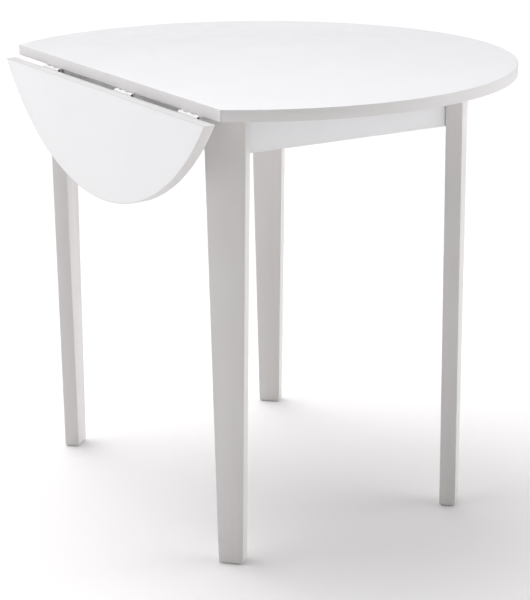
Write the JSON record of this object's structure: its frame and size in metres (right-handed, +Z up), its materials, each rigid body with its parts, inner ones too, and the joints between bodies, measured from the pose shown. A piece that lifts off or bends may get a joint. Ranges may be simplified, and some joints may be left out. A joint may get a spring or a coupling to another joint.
{
  "type": "drop-leaf table",
  "caption": "Round dining table with one drop leaf: a disc top cut by a straight hinged edge, deep aprons, tapered corner legs set diagonally and slotted stays that hold the leaf up.",
  "frame": {"origin": "on the floor, under the middle of the whole table's box with the leaf hanging", "axes": "+Z up; Y along the hinge line; the leaf hangs on the -X side and the round edge faces +X"},
  "size_m": [0.7404, 0.9, 0.75],
  "materials": {
    "board": "white foil-faced board, satin",
    "edge_band": "white edge banding, satin",
    "painted_wood": "white painted solid wood, satin",
    "block_wood": "bare pine",
    "glide": "white moulded plastic",
    "hinge_paint": "white powder coat",
    "zinc": "bright zinc plate"
  },
  "bodies": {
    "table_frame": {"fixed_top": "board", "top_round_edge_band": "edge_band", "top_hinge_edge_band": "edge_band", "leg_hinge_side_front": "painted_wood", "corner_block_hinge_side_front": "block_wood", "foot_glide_hinge_side_front": "glide", "leg_bolt_hinge_side_front": "zinc", "leg_washer_hinge_side_front": "zinc", "leg_nut_hinge_side_front": "zinc", "leg_hinge_side_back": "painted_wood", "corner_block_hinge_side_back": "block_wood", "foot_glide_hinge_side_back": "glide", "leg_bolt_hinge_side_back": "zinc", "leg_washer_hinge_side_back": "zinc", "leg_nut_hinge_side_back": "zinc", "leg_round_side_front": "painted_wood", "corner_block_round_side_front": "block_wood", "foot_glide_round_side_front": "glide", "leg_bolt_round_side_front": "zinc", "leg_washer_round_side_front": "zinc", "leg_nut_round_side_front": "zinc", "leg_round_side_back": "painted_wood", "corner_block_round_side_back": "block_wood", "foot_glide_round_side_back": "glide", "leg_bolt_round_side_back": "zinc", "leg_washer_round_side_back": "zinc", "leg_nut_round_side_back": "zinc", "apron_front": "painted_wood", "apron_back": "painted_wood", "apron_hinge_side": "painted_wood", "apron_round_side": "painted_wood", "top_bracket_front": "zinc", "top_bracket_back": "zinc", "top_bracket_hinge_side": "zinc", "top_bracket_round_side": "zinc", "hinge_front_top_plate": "hinge_paint", "hinge_front_pin": "zinc", "hinge_middle_top_plate": "hinge_paint", "hinge_middle_pin": "zinc", "hinge_back_top_plate": "hinge_paint", "hinge_back_pin": "zinc", "stay_hanger_front": "zinc", "stay_stud_front": "zinc", "stay_hanger_back": "zinc", "stay_stud_back": "zinc"},
    "leaf": {"drop_leaf": "board", "leaf_round_edge_band": "edge_band", "leaf_hinge_edge_band": "edge_band", "hinge_front_leaf_plate": "hinge_paint", "hinge_middle_leaf_plate": "hinge_paint", "hinge_back_leaf_plate": "hinge_paint", "stay_leaf_bracket_front": "zinc", "stay_rivet_front": "zinc", "stay_leaf_bracket_back": "zinc", "stay_rivet_back": "zinc"},
    "stay_arm_front": {"stay_arm_front": "zinc"},
    "stay_arm_back": {"stay_arm_back": "zinc"}
  },
  "joints": [
    {"name": "leaf_hinge", "type": "hinge", "parent": "table_frame", "child": "leaf", "pos_m": [-0.34825, 0, 0.728], "axis": [0, 1, 0], "range_deg": [0, 90]},
    {"name": "stay_pivot_front", "type": "hinge", "parent": "leaf", "child": "stay_arm_front", "pos_m": [-0.34225, -0.165, 0.64622], "axis": [0, 1, 0], "range_deg": [-45, 0]},
    {"name": "stay_pivot_back", "type": "hinge", "parent": "leaf", "child": "stay_arm_back", "pos_m": [-0.34225, 0.165, 0.64622], "axis": [0, 1, 0], "range_deg": [-45, 0]}
  ],
  "couplings": [
    {"joint": "stay_pivot_front", "follows": "leaf_hinge", "ratio": -0.5},
    {"joint": "stay_pivot_back", "follows": "leaf_hinge", "ratio": -0.5}
  ]
}
